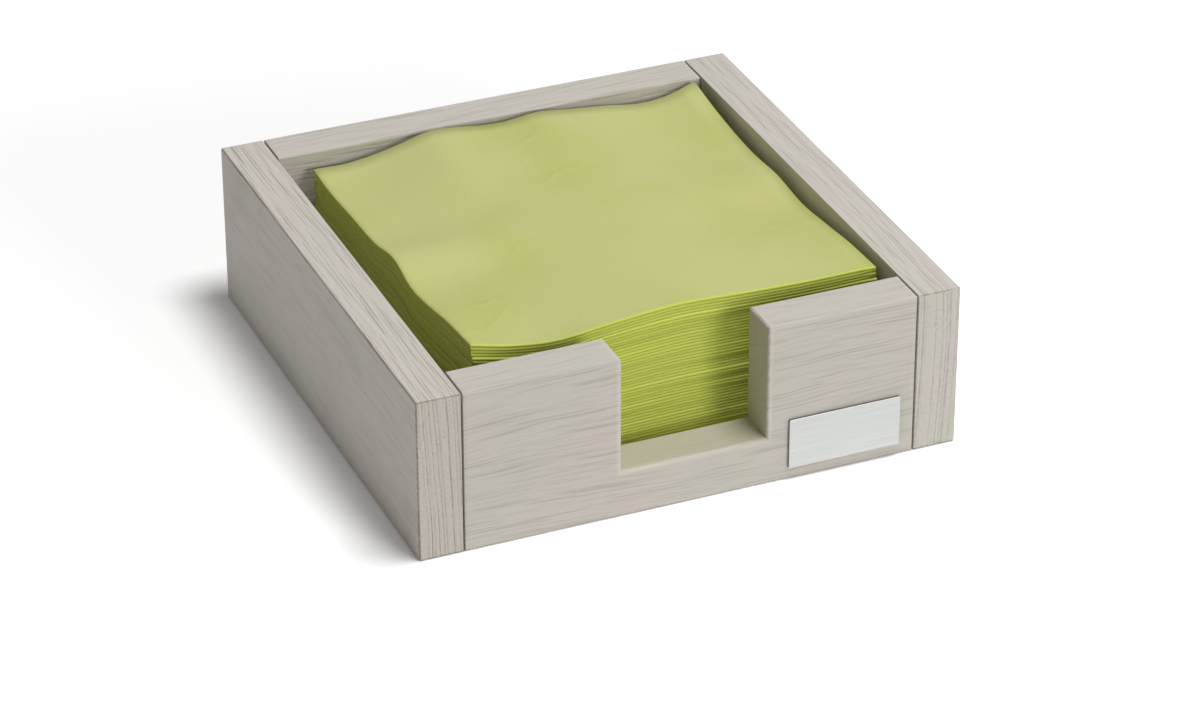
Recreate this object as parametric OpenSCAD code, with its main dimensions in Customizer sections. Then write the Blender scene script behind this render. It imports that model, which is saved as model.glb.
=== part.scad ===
// Open-topped wooden holder for a stack of folded paper napkins.
// Two side boards run the full depth. The front and back boards stand between them on blind dowels,
// and a dark shadow groove is left all round each joint. The front board has a finger notch.
// Origin: on the surface it stands on, under the middle of the frame. +X right, +Y back, +Z up.

/* [Frame] */
// Outside width, left to right
frame_w = 218; // [180:1:300]
// Outside depth, front to back
frame_d = 216; // [180:1:300]
// Height of the boards
frame_h = 67; // [55:1:110]
// Thickness of the four boards
board_t = 17.5; // [16:0.5:24]
// Radius that the boards' edges are eased to
edge_r = 0.5; // [0.4:0.1:2]

/* [Corner joints] */
// Width of the shadow groove between two boards
groove_w = 0.6; // [0.5:0.1:2]
// Depth of the shadow groove, from each face of the board
groove_depth = 3.5; // [2:0.5:4]
// Diameter of the dowels
dowel_d = 8; // [6:1:8]
// Length of the dowels
dowel_l = 30; // [24:1:36]
// Length of each dowel that stands in the side board
dowel_in_side = 11; // [8:0.5:12]
// Height between the two dowels of one joint
dowel_spread = 28; // [24:1:34]
// Clearance round a dowel, on the radius
dowel_clearance = 0.05; // [0.02:0.01:0.1]
// Empty depth left for glue at each end of a dowel
dowel_end_gap = 1; // [0.5:0.5:2]

/* [Finger notch] */
// Width of the notch in the front board
notch_w = 58.5; // [40:0.5:72]
// How far the notch lies to the right of the frame's middle
notch_shift = 0.75; // [-3:0.25:3]
// Height of the board that is left under the notch
ledge_h = 19.5; // [16:0.5:30]
// Radius that the notch's edges are eased to, apart from those behind it
notch_r = 1.8; // [0.8:0.1:3]

/* [Base panel] */
// Thickness of the base panel
panel_t = 4; // [3:0.5:6]
// Height of the panel's underside above the surface
panel_recess = 1; // [0.5:0.5:2]
// How far the panel laps under each board
panel_lap = 8; // [6:0.5:10]
// Radius of the panel's corners
panel_corner_r = 8; // [4:0.5:12]
// Clearance between the panel and its rebate
panel_clearance = 0.3; // [0.1:0.1:0.6]

/* [Base screws] */
// Diameter over the screw's thread
screw_d = 3; // [2.5:0.5:3.5]
// Length of the screw, head included
screw_l = 12; // [10:1:14]
// Diameter of the countersunk head
screw_head_d = 6; // [5:0.5:7]
// Pitch of the thread
screw_pitch = 1.2; // [0.8:0.1:1.6]
// Depth of the thread
screw_thread_depth = 0.4; // [0.2:0.05:0.5]
// Clearance round a screw, on the radius
screw_clearance = 0.05; // [0.02:0.01:0.1]
// Distance of the screws from the corners of the well
screw_inset = 31.5; // [26:0.5:45]

/* [Plate] */
// Distance of the plate from the finger notch
plate_from_notch = 8.8; // [4:0.1:12]
// Distance of the plate from the end of the front board
plate_from_end = 6.1; // [4:0.1:12]
// Height of the plate
plate_h = 21; // [14:0.5:30]
// Height of the plate's lower edge above the surface
plate_z = 5; // [3:0.5:12]
// Thickness of the plate
plate_t = 0.8; // [0.5:0.1:1.5]
// Radius of the plate's corners
plate_corner_r = 0.7; // [0.3:0.1:2]
// Thickness of the adhesive pad behind the plate
pad_t = 0.4; // [0.2:0.1:1]
// How far the pad stays inside the plate's edge
pad_margin = 0.3; // [0.1:0.1:2]

/* [Napkins] */
// Number of folded napkins in the well
napkin_count = 24; // [4:1:24]
// Thickness of one folded napkin
napkin_t = 2; // [1:0.1:2.2]
// Air between two napkins
napkin_gap = 0.48; // [0.3:0.01:0.6]
// How much smaller a napkin is than the well's shorter side
napkin_play = 16; // [10:0.5:30]
// Distance of the stack from the right side board
napkin_from_right = 3.3; // [2:0.1:8]
// Distance of the stack from the back board
napkin_from_back = 3.7; // [2:0.1:8]
// Radius of a napkin's corners
napkin_corner_r = 1.5; // [0.5:0.1:4]
// Clearance between the lowest napkin and the base panel
napkin_seat_gap = 0.3; // [0.2:0.1:0.5]

/* [Hidden] */
$fn = 48;
// how far a cutting shape reaches past the face that it cuts
past = 1;
// the well between the four boards
well_w = frame_w - 2 * board_t;
well_d = frame_d - 2 * board_t;
// the front and back boards, between the two grooves
cross_w = well_w - 2 * groove_w;
cross_y = (frame_d - board_t) / 2;
side_x = (frame_w - board_t) / 2;
// the post at the right of the notch, which carries the plate
post_w = (cross_w - notch_w) / 2 - notch_shift;
// dowels
dowel_zs = [frame_h / 2 - dowel_spread / 2, frame_h / 2 + dowel_spread / 2];
dowel_outer_x = well_w / 2 + dowel_in_side;
dowel_chamfer = 1;
// base panel
rebate_h = panel_recess + panel_t;
// base screws, in the middle of the panel's lap
screw_xs = [-well_w / 2 + screw_inset, well_w / 2 - screw_inset];
screw_ys = [-well_d / 2 + screw_inset, well_d / 2 - screw_inset];
screw_rim = panel_lap / 2;
screw_head_h = (screw_head_d - screw_d) / 2;
screw_neck = 1.2;
screw_tip_h = 1.5;
screw_turns = floor((screw_l - screw_head_h - screw_neck - screw_tip_h) / screw_pitch);
screw_cross_w = 0.7;
screw_cross_span = 3.4;
screw_cross_depth = 1.1;
// plate
plate_w = post_w - plate_from_notch - plate_from_end;
plate_x = cross_w / 2 - plate_from_end - plate_w / 2;
// napkins
napkin_side = min(well_w, well_d) - napkin_play;
napkin_pitch = napkin_t + napkin_gap;
napkin_x = well_w / 2 - napkin_from_right - napkin_side / 2;
napkin_y = well_d / 2 - napkin_from_back - napkin_side / 2;
// colours
wood_colour = [0.77, 0.75, 0.70];
panel_colour = [0.80, 0.77, 0.70];
dowel_colour = [0.80, 0.68, 0.50];
steel_colour = [0.72, 0.72, 0.70];
plate_colour = [0.82, 0.83, 0.82];
pad_colour = [0.25, 0.24, 0.22];
napkin_colour = [0.72, 0.77, 0.30];

function napkin_name(k) = str("napkin_", k < 10 ? "0" : "", k);

// Rectangle of the given width and height, centred, with round corners.
module rounded_rect(w, h, r) {
    square([w - 2 * r, h], center = true);
    square([w, h - 2 * r], center = true);
    for (x = [-1, 1], y = [-1, 1])
        translate([x * (w / 2 - r), y * (h / 2 - r)]) circle(r);
}

// Bar along X, Y or Z with its four long edges rounded, centred on the origin.
module bar_x(l, d, h, r) {
    rotate([90, 0, 90]) linear_extrude(l, center = true) rounded_rect(d, h, r);
}
module bar_y(w, l, h, r) {
    rotate([90, 0, 0]) linear_extrude(l, center = true) rounded_rect(w, h, r);
}
module bar_z(w, d, l, r) {
    linear_extrude(l, center = true) rounded_rect(w, d, r);
}

// Board with all twelve edges rounded, standing on Z = 0.
module eased_board(w, d, h, r) {
    translate([0, 0, h / 2]) intersection() {
        bar_x(w, d, h, r);
        bar_y(w, d, h, r);
        bar_z(w, d, h, r);
    }
}

// Rebate in the underside that the base panel lies in, cut through all four boards at once.
module panel_rebate() {
    translate([0, 0, (rebate_h - past) / 2])
        bar_z(well_w + 2 * panel_lap, well_d + 2 * panel_lap, rebate_h + past, panel_corner_r);
}

// Places its children at each base screw, pointing up from the panel's underside.
module at_screws() {
    for (x = screw_xs, y = [-1, 1])
        translate([x, y * (well_d / 2 + screw_rim), panel_recess]) children();
    for (x = [-1, 1], y = screw_ys)
        translate([x * (well_w / 2 + screw_rim), y, panel_recess]) children();
}

// Places its children at each dowel, with their Z axis along the dowel from its outer end inwards.
module at_dowels() {
    for (side = [0, 1], y = [-cross_y, cross_y], z = dowel_zs)
        mirror([side, 0, 0]) translate([-dowel_outer_x, y, z]) rotate([0, 90, 0]) children();
}

module dowel_bores() {
    at_dowels() translate([0, 0, -dowel_end_gap])
        cylinder(r = dowel_d / 2 + dowel_clearance, h = dowel_l + 2 * dowel_end_gap);
}

module screw_bores() {
    at_screws() translate([0, 0, -past])
        cylinder(r = screw_d / 2 + screw_clearance, h = screw_l + screw_clearance + past);
}

// Countersinks at 45 degrees for the screw heads, open below the panel.
module screw_sinks() {
    sink_r = screw_head_d / 2 + screw_clearance;
    at_screws() translate([0, 0, -past])
        cylinder(r1 = sink_r + past, r2 = sink_r - screw_head_h, h = screw_head_h + past);
}

module side_board(x) {
    color(wood_colour) difference() {
        translate([x, 0, 0]) eased_board(board_t, frame_d, frame_h, edge_r);
        panel_rebate();
        dowel_bores();
        screw_bores();
    }
}

// Front or back board, with the raised pad at each end that meets the side board inside the groove.
module cross_board_blank(y) {
    pad_d = board_t - 2 * groove_depth;
    pad_h = frame_h - 2 * groove_depth;
    translate([0, y, 0]) {
        eased_board(cross_w, board_t, frame_h, edge_r);
        translate([-well_w / 2, -pad_d / 2, groove_depth]) cube([well_w, pad_d, pad_h]);
    }
}

// Everything of the front board that the notch leaves: a ledge and a post on each side. The bars that
// ease the edges in front and on top run past the board behind it, where edge_r eases the edges.
module notch_keepers() {
    reach = frame_w;
    deep = board_t + 2 * notch_r;
    translate([0, -cross_y, ledge_h - frame_h / 2]) intersection() {
        bar_x(reach, board_t, frame_h, edge_r);
        translate([0, notch_r, 0]) bar_x(reach, deep, frame_h, notch_r);
    }
    for (side = [-1, 1])
        translate([notch_shift + side * (notch_w + reach) / 2, -cross_y, 0]) intersection() {
            bar_z(reach, board_t, 3 * frame_h, edge_r);
            translate([0, notch_r, 0]) bar_z(reach, deep, 3 * frame_h, notch_r);
            bar_y(reach, board_t, 2 * frame_h, notch_r);
        }
}

module front_board() {
    color(wood_colour) difference() {
        intersection() {
            cross_board_blank(-cross_y);
            notch_keepers();
        }
        panel_rebate();
        dowel_bores();
        screw_bores();
    }
}

module back_board() {
    color(wood_colour) difference() {
        cross_board_blank(cross_y);
        panel_rebate();
        dowel_bores();
        screw_bores();
    }
}

module base_panel() {
    w = well_w + 2 * (panel_lap - panel_clearance);
    d = well_d + 2 * (panel_lap - panel_clearance);
    color(panel_colour) difference() {
        translate([0, 0, rebate_h - panel_t / 2])
            bar_z(w, d, panel_t, panel_corner_r - panel_clearance);
        screw_bores();
        screw_sinks();
    }
}

// One dowel from Z = 0 upwards, with a chamfer at each end.
module dowel() {
    r = dowel_d / 2;
    tip_r = r - dowel_chamfer / 2;
    rotate_extrude() polygon([
        [0, 0], [tip_r, 0], [r, dowel_chamfer], [r, dowel_l - dowel_chamfer],
        [tip_r, dowel_l], [0, dowel_l]
    ]);
}

module corner_dowels() {
    color(dowel_colour) at_dowels() dowel();
}

// Outline of one screw: head, neck, thread as a row of rings, and tip.
function screw_outline() = let (
    r = screw_d / 2,
    core = r - screw_thread_depth,
    thread_z = screw_head_h + screw_neck
) concat(
    [[0, 0], [screw_head_d / 2, 0], [r, screw_head_h], [core, screw_head_h + screw_thread_depth]],
    [for (i = [0 : screw_turns - 1], p = [
        [core, thread_z + i * screw_pitch],
        [r, thread_z + (i + 0.5) * screw_pitch]
    ]) p],
    [[core, thread_z + screw_turns * screw_pitch], [0, screw_l]]
);

module screw() {
    difference() {
        rotate_extrude() polygon(screw_outline());
        for (turn = [0, 90])
            rotate([0, 0, turn]) translate([-screw_cross_span / 2, -screw_cross_w / 2, -past])
                cube([screw_cross_span, screw_cross_w, screw_cross_depth + past]);
    }
}

module base_screws() {
    color(steel_colour) at_screws() screw();
}

// Upright slab against the front board's face, centred on the plate and standing off by the given gap.
module front_slab(w, h, t, r, off) {
    translate([plate_x, -frame_d / 2 - off - t / 2, plate_z + plate_h / 2]) bar_y(w, t, h, r);
}

module label_plate() {
    color(plate_colour) front_slab(plate_w, plate_h, plate_t, plate_corner_r, pad_t);
}

module plate_pad() {
    inset = 2 * pad_margin;
    color(pad_colour)
        front_slab(plate_w - inset, plate_h - inset, pad_t, plate_corner_r - pad_margin / 2, 0);
}

// One folded napkin, counted up from the base panel: flat, with a round fold at its front and left.
module napkin(k) {
    fold_r = napkin_t / 2;
    reach = 2 * napkin_side;
    z = rebate_h + napkin_seat_gap + (k - 1) * napkin_pitch + fold_r;
    color(napkin_colour) translate([napkin_x, napkin_y, z]) intersection() {
        bar_z(napkin_side, napkin_side, reach, napkin_corner_r);
        fold_profile(reach);
        mirror([1, -1, 0]) fold_profile(reach);
    }
}

// Layer of a napkin's thickness that runs along X and ends in a half round at the front.
module fold_profile(l) {
    fold_r = napkin_t / 2;
    rotate([90, 0, 90]) linear_extrude(l, center = true) {
        translate([-napkin_side / 2 + fold_r, -fold_r]) square([l, napkin_t]);
        translate([-napkin_side / 2 + fold_r, 0]) circle(fold_r);
    }
}

side_board(-side_x);  // left_side
side_board(side_x);  // right_side
front_board();
back_board();
base_panel();
corner_dowels();
base_screws();
label_plate();
plate_pad();
for (k = [1 : napkin_count])
    napkin(k);
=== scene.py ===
"""Napkin holder: the looks of its boards, plate, fasteners and folded napkins.

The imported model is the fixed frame, and every size that it holds is read from it. The boards are made
again with the relief of brushed softwood, inside the frame's own solids, and each napkin is one thin
sheet that is really folded in four. Lengths are in metres, and +X is right, +Y back and +Z up.
"""

import logging
import math
from abc import ABC, abstractmethod
from dataclasses import asdict, dataclass
from enum import Enum
from functools import cache
from typing import NamedTuple, Sequence

import bmesh
import bpy
import numpy as np
from mathutils import Matrix, Vector


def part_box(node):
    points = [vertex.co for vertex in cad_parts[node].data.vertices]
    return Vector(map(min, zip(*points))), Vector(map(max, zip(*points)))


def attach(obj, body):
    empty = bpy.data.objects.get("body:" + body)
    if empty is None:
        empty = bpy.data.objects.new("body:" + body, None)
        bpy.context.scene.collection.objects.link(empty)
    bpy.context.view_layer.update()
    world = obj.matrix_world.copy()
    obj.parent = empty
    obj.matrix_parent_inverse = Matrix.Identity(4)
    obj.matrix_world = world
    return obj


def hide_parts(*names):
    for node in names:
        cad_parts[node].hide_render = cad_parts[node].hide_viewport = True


Pair = tuple[float, float]
Triple = tuple[float, float, float]
Colour = tuple[float, float, float, float]
Array = np.ndarray
Piece = bpy.types.Object
Material = bpy.types.Material
NodeTree = bpy.types.NodeTree
Socket = bpy.types.NodeSocket
Outputs = bpy.types.bpy_prop_collection
Term = float | Sequence[float] | Socket
Terms = dict[str | int, Term]

MM = 0.001
TURN = 2 * math.pi
# Points that are closer together than this are one point.
SAME_POINT = MM / 1000
# A face lies square to an axis where its normal has more than this share along it.
SQUARE_ON = 0.99999

HOLDER = "holder"
STACK = "napkin_stack"
TOP_NAPKIN = "top_napkin"

log = logging.getLogger("napkin_holder")
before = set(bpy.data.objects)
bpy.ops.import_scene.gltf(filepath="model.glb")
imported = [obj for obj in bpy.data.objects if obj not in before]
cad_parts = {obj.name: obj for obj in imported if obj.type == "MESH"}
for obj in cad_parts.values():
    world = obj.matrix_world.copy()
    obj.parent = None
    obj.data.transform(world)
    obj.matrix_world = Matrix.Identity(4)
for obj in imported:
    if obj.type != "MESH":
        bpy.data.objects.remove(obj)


def paint(red: int, green: int, blue: int) -> Colour:
    """A colour given as a screen shows it, 0 to 255 a channel.

    Args:
        red, green, blue: the channels.

    Returns:
        The same colour in linear light, with an alpha of 1.
    """
    channels = np.array([red, green, blue]) / 255
    linear = np.where(channels <= 0.04045, channels / 12.92, ((channels + 0.055) / 1.055) ** 2.4)
    return (*linear.tolist(), 1.0)


def smooth_step(low: float, high: float, value: Array) -> Array:
    """0 below low, 1 above high, and 3t^2 - 2t^3 between them, where t is the share of the way."""
    share = np.clip((value - low) / (high - low), 0, 1)
    return share * share * (3 - 2 * share)


def between(share: Array, start: Array | float, end: Array | float) -> Array:
    """The value that lies a share of the way from the start to the end."""
    return start * (1 - share) + end * share


# ---------- Meshes


def grid_quads(rows: int, columns: int, first: int = 0) -> Array:
    """Quads of a grid whose points are numbered row by row.

    Args:
        rows, columns: the number of points each way.
        first: the number of the grid's first point.

    Returns:
        One row of four point numbers for each quad. A quad runs a row up, a column on, and back.
    """
    corner = first + np.arange(rows - 1)[:, None] * columns + np.arange(columns - 1)[None, :]
    corner = corner.ravel()
    return np.stack([corner, corner + columns, corner + columns + 1, corner + 1], axis=1)


def new_piece(name: str, points: Array, quads: Array) -> Piece:
    """Puts points and quads into a new object of the scene, with smooth shading.

    Args:
        name: the object's name.
        points: one row of three coordinates for each point.
        quads: one row of four point numbers for each face.

    Returns:
        The object, at the origin.
    """
    mesh = bpy.data.meshes.new(name)
    mesh.from_pydata(points, [], quads)
    mesh.shade_smooth()
    piece = bpy.data.objects.new(name, mesh)
    bpy.context.scene.collection.objects.link(piece)
    return piece


def flatten_square_faces(mesh: bpy.types.Mesh) -> None:
    """Shades a mesh's faces flat where they lie square to an axis, and smooth elsewhere.

    Args:
        mesh: the mesh, which loses the normals that it was given.
    """
    if mesh.has_custom_normals:
        mesh.attributes.remove(mesh.attributes["custom_normal"])
    normals = np.empty(3 * len(mesh.polygons), dtype=np.float32)
    mesh.polygons.foreach_get("normal", normals)
    largest = np.abs(normals.reshape(-1, 3)).max(axis=1)
    mesh.polygons.foreach_set("use_smooth", largest < SQUARE_ON)


def dress(piece: Piece, material: Material) -> None:
    """Gives a piece one material all over."""
    piece.data.materials.clear()
    piece.data.materials.append(material)


def cut_to_node(piece: Piece, node: Piece, crease_deg: float) -> None:
    """Keeps only what of the piece lies inside the node's solid, with the node's rebates and bores.

    Args:
        piece: the closed piece to cut, which gets the new mesh.
        node: the frame's node, which stays as it is: a merged copy of its mesh does the cutting.
        crease_deg: edges sharper than this stay sharp.
    """
    solid = node.data.copy()
    solid.materials.clear()
    loose = bmesh.new()
    loose.from_mesh(solid)
    bmesh.ops.remove_doubles(loose, verts=loose.verts, dist=SAME_POINT)
    loose.to_mesh(solid)
    loose.free()
    flatten_square_faces(solid)
    cutter = bpy.data.objects.new("cutter", solid)
    bpy.context.scene.collection.objects.link(cutter)
    cut = piece.modifiers.new("cut", "BOOLEAN")
    cut.operation = "INTERSECT"
    cut.solver = "MANIFOLD"
    cut.object = cutter
    blank = piece.data
    view = bpy.context.evaluated_depsgraph_get()
    piece.data = bpy.data.meshes.new_from_object(piece.evaluated_get(view))
    piece.data.set_sharp_from_angle(angle=math.radians(crease_deg))
    piece.modifiers.clear()
    bpy.data.objects.remove(cutter)
    bpy.data.meshes.remove(solid)
    bpy.data.meshes.remove(blank)


# ---------- Growth rings, as one field for the relief and the colour


class Sway(NamedTuple):
    """One slow wave that moves the growth rings to and fro.

    Attributes:
        rings: how far it moves them, in rings.
        lengths: its wave lengths along the grain, across the rings and beside both.
        turn: where it starts, in radians.
    """

    rings: float
    lengths: Triple
    turn: float

    def rates(self) -> Triple:
        """Radians per metre along the grain, across the rings and beside both."""
        along, across, beside = (TURN / length for length in self.lengths)
        return along, across, beside


class Beat(NamedTuple):
    """One term of the uneven row of dark and pale lines.

    Attributes:
        weight: its share in the row.
        rate: its lines a ring.
        turn: where it starts, in radians.
    """

    weight: float
    rate: float
    turn: float


class Break(NamedTuple):
    """One wave that fades the dark lines in and out.

    Attributes:
        length: its length along the grain.
        rate: its turns a ring.
    """

    length: float
    rate: float


SWAYS = (
    Sway(0.90, (0.410, 0.130, 0.160), 0.0),
    Sway(0.35, (0.170, -0.090, 0.110), 1.7),
    Sway(0.12, (0.071, 0.047, -0.053), 4.1),
    Sway(0.08, (0.031, 0.021, 0.027), 2.6),
    Sway(0.38, (0.900, 0.0127, 0.400), 0.5),
)
BEATS = (Beat(0.55, 1.00, 0.0), Beat(0.35, 0.38, 1.1), Beat(0.30, 1.62, 2.3), Beat(0.13, 2.70, 0.4))
BREAKS = (Break(0.113, 0.13), Break(0.061, -0.29), Break(0.037, 0.53))
# A line is pale where the sum of the beats is below the first number, and dark above the second.
LINE_LOW, LINE_HIGH = -0.3, 1.05
# It's gone where the sum of the breaks is below the first number, and whole above the second.
FADED, WHOLE = -1.5, 1.3
# A face lies along the rings where its normal has more than the first share across them, and cuts
# them open where it has less than the second.
FLAT_CUT, OPEN_CUT = 0.98, 0.75


@dataclass(frozen=True)
class Grain:
    """Growth rings of one board as a solid field, so that its lines run on round its edges.

    A point's ring number is its distance across the rings over their pitch, plus the sways. The dark
    lines are where the sum of the beats, sines of the ring number, is high. The breaks, which differ
    from ring to ring, interrupt them along the grain.

    Attributes:
        along: direction of the grain.
        across: direction square to the rings.
        pitch: distance between two rings.
        sway: how strongly the rings sway.
        shift: moves the field, so that no two boards are alike.
    """

    along: Triple
    across: Triple
    pitch: float
    sway: float = 1.0
    shift: Triple = (0.0, 0.0, 0.0)

    def axes(self) -> Array:
        """Squares the direction across the rings to the grain.

        Returns:
            The directions along, across and beside, one unit vector a row.
        """
        along = np.array(self.along)
        across = np.array(self.across) - np.dot(self.across, along) * along
        across /= np.linalg.norm(across)
        return np.stack([along, across, np.cross(along, across)])

    def lines(self, points: Array) -> Array:
        """How dark the rings' lines are at each point.

        Args:
            points: one row of three coordinates for each point.

        Returns:
            One number a point, from 0 on pale wood to 1 on a dark line.
        """
        place = (points + np.array(self.shift)) @ self.axes().T
        number = place[:, 1] / self.pitch
        for wave in SWAYS:
            number += self.sway * wave.rings * np.sin(place @ np.array(wave.rates()) + wave.turn)
        total = sum(beat.weight * np.sin(TURN * beat.rate * number + beat.turn) for beat in BEATS)
        gaps = sum(np.sin(TURN * (place[:, 0] / gap.length + gap.rate * number)) for gap in BREAKS)
        return smooth_step(LINE_LOW, LINE_HIGH, total) * smooth_step(FADED, WHOLE, gaps)

    def slant(self, outwards: Array) -> Array:
        """From 0 where a face with the given unit normal lies along the rings to 1 where it cuts them."""
        return smooth_step(FLAT_CUT, OPEN_CUT, np.abs(outwards @ self.axes()[1]))

    def terms(self) -> Terms:
        """What the node group of the growth rings gets."""
        along, across, _ = self.axes().tolist()
        return asdict(self) | {"along": along, "across": across}


# ---------- Shader graphs


class Fibres(NamedTuple):
    """Mean length and width of one kind of streak."""

    length: float
    width: float


class Graph:
    """Adds nodes to one node tree and links them, so that a shader reads as a formula."""

    def __init__(self, tree: NodeTree) -> None:
        """Starts with the tree as it is."""
        self.tree = tree

    def feed(self, node: bpy.types.Node, terms: Terms) -> None:
        """Links some of a node's inputs, or sets their constant values.

        Args:
            node: the node.
            terms: what its inputs get, by name or number.
        """
        for key, term in terms.items():
            if isinstance(term, Socket):
                self.tree.links.new(term, node.inputs[key])
            else:
                node.inputs[key].default_value = term

    def add(self, kind: str, terms: Terms | None = None, **settings: object) -> bpy.types.Node:
        """Adds a node.

        Args:
            kind: the node's type.
            terms: what its inputs get, by name or number.
            settings: the node's own settings.

        Returns:
            The node.
        """
        node = self.tree.nodes.new(kind)
        for name, setting in settings.items():
            setattr(node, name, setting)
        self.feed(node, terms or {})
        return node

    def math(self, operation: str, *terms: Term) -> Socket:
        """The result of a sum, product or other operation on numbers."""
        return self.add("ShaderNodeMath", dict(enumerate(terms)), operation=operation).outputs[0]

    def times(self, one: Term, other: Term) -> Socket:
        """The product of two numbers."""
        return self.math("MULTIPLY", one, other)

    def vector(self, operation: str, *terms: Term) -> Socket:
        """The vector that an operation on vectors gives."""
        return self.add("ShaderNodeVectorMath", dict(enumerate(terms)), operation=operation).outputs[0]

    def scalar(self, operation: str, *terms: Term) -> Socket:
        """The number that an operation on vectors gives."""
        return self.add("ShaderNodeVectorMath", dict(enumerate(terms)), operation=operation).outputs[1]

    def dot(self, one: Term, other: Term) -> Socket:
        """The scalar product of two vectors."""
        return self.scalar("DOT_PRODUCT", one, other)

    def parts(self, vector: Term) -> list[Socket]:
        """A vector's X, Y and Z."""
        return list(self.add("ShaderNodeSeparateXYZ", {0: vector}).outputs)

    def largest(self, vector: Term) -> Socket:
        """The largest of a vector's X, Y and Z."""
        x, y, z = self.parts(vector)
        return self.math("MAXIMUM", self.math("MAXIMUM", x, y), z)

    def place(self) -> Socket:
        """The point's place in its object, in metres."""
        return self.add("ShaderNodeTexCoord").outputs["Object"]

    def normal(self) -> Socket:
        """The surface's direction in its object, which no bump changes."""
        return self.add("ShaderNodeTexCoord").outputs["Normal"]

    def facing(self, direction: Sequence[float]) -> Socket:
        """How squarely the surface faces a direction or its opposite, from 0 to 1."""
        return self.math("ABSOLUTE", self.dot(self.normal(), direction))

    def step(self, value: Term, low: Term, high: Term, start: Term = 0.0, end: Term = 1.0) -> Socket:
        """Start below low, end above high, and smooth between them."""
        terms = {"Value": value, "From Min": low, "From Max": high, "To Min": start, "To Max": end}
        return self.add("ShaderNodeMapRange", terms, interpolation_type="SMOOTHSTEP").outputs[0]

    def noise(self, place: Term, scale: float, detail: float = 2.0, roughness: float = 0.5) -> Socket:
        """Cloudy noise about 0.5, with the given number of clouds a metre of the place."""
        terms = {"Vector": place, "Scale": scale, "Detail": detail, "Roughness": roughness}
        return self.add("ShaderNodeTexNoise", terms).outputs[0]

    def mix(self, share: Term, one: Term, other: Term) -> Socket:
        """A colour between two others."""
        return self.add("ShaderNodeMix", {0: share, 6: one, 7: other}, data_type="RGBA").outputs[2]

    def bump(self, height: Term, depth: float, **under: Term) -> Socket:
        """The normal of a surface that the height, 0 to 1, lifts by up to the depth."""
        terms = {"Height": height, "Distance": depth, "Strength": 1.0}
        return self.add("ShaderNodeBump", terms | under).outputs[0]

    def rings(self, grain: Grain) -> Outputs:
        """A grain's growth rings: the line, from 0 to 1 where it's dark, and the place in the grain."""
        return self.add("ShaderNodeGroup", grain.terms(), node_tree=growth_rings()).outputs

    def fibres(self, place: Term, size: Fibres) -> Socket:
        """Streaks along X of the place, as a value about 0.5."""
        terms = {"place": place, **size._asdict()}
        return self.add("ShaderNodeGroup", terms, node_tree=long_fibres()).outputs[0]

    def edge(self, flat: float, turned: float) -> Socket:
        """From 0 where the largest part of the normal is over flat to 1 where it's under turned."""
        terms = {"flat": flat, "turned": turned}
        return self.add("ShaderNodeGroup", terms, node_tree=eased_edges()).outputs[0]


class Kind(Enum):
    """Types of a node group's sockets."""

    NUMBER = "NodeSocketFloat"
    VECTOR = "NodeSocketVector"


def new_group(name: str, inputs: dict[str, Kind], outputs: dict[str, Kind]) -> tuple[Graph, Outputs]:
    """Starts a node group.

    Args:
        name: its name.
        inputs, outputs: the types of its sockets, by name.

    Returns:
        The graph of its nodes, and what's fed to it.
    """
    tree = bpy.data.node_groups.new(name, "ShaderNodeTree")
    for way, kinds in (("INPUT", inputs), ("OUTPUT", outputs)):
        for title, kind in kinds.items():
            tree.interface.new_socket(name=title, in_out=way, socket_type=kind.value)
    graph = Graph(tree)
    return graph, graph.add("NodeGroupInput").outputs


@cache
def growth_rings() -> NodeTree:
    """Builds the field of Grain.lines from nodes, once for all boards.

    Returns:
        The node group, which also gives the place along the grain, across its rings and beside both.
    """
    inputs = {"along": Kind.VECTOR, "across": Kind.VECTOR, "shift": Kind.VECTOR}
    inputs |= {"pitch": Kind.NUMBER, "sway": Kind.NUMBER}
    graph, given = new_group("growth rings", inputs, {"line": Kind.NUMBER, "place": Kind.VECTOR})
    point = graph.vector("ADD", graph.place(), given["shift"])
    beside = graph.vector("CROSS_PRODUCT", given["along"], given["across"])
    directions = (given["along"], given["across"], beside)
    parts = {part: graph.dot(point, direction) for part, direction in enumerate(directions)}
    place = graph.add("ShaderNodeCombineXYZ", parts).outputs[0]
    number = graph.math("DIVIDE", graph.dot(place, (0, 1, 0)), given["pitch"])
    for wave in SWAYS:
        angle = graph.math("ADD", graph.dot(place, wave.rates()), wave.turn)
        moved = graph.times(graph.math("SINE", angle), wave.rings)
        number = graph.math("MULTIPLY_ADD", moved, given["sway"], number)
    total = 0.0
    for beat in BEATS:
        angle = graph.math("MULTIPLY_ADD", number, TURN * beat.rate, beat.turn)
        total = graph.math("MULTIPLY_ADD", graph.math("SINE", angle), beat.weight, total)
    gaps = 0.0
    for gap in BREAKS:
        along = graph.dot(place, (TURN / gap.length, 0, 0))
        angle = graph.math("MULTIPLY_ADD", number, TURN * gap.rate, along)
        gaps = graph.math("ADD", graph.math("SINE", angle), gaps)
    line = graph.times(graph.step(total, LINE_LOW, LINE_HIGH), graph.step(gaps, FADED, WHOLE))
    graph.add("NodeGroupOutput", {"line": line, "place": place})
    return graph.tree


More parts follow.
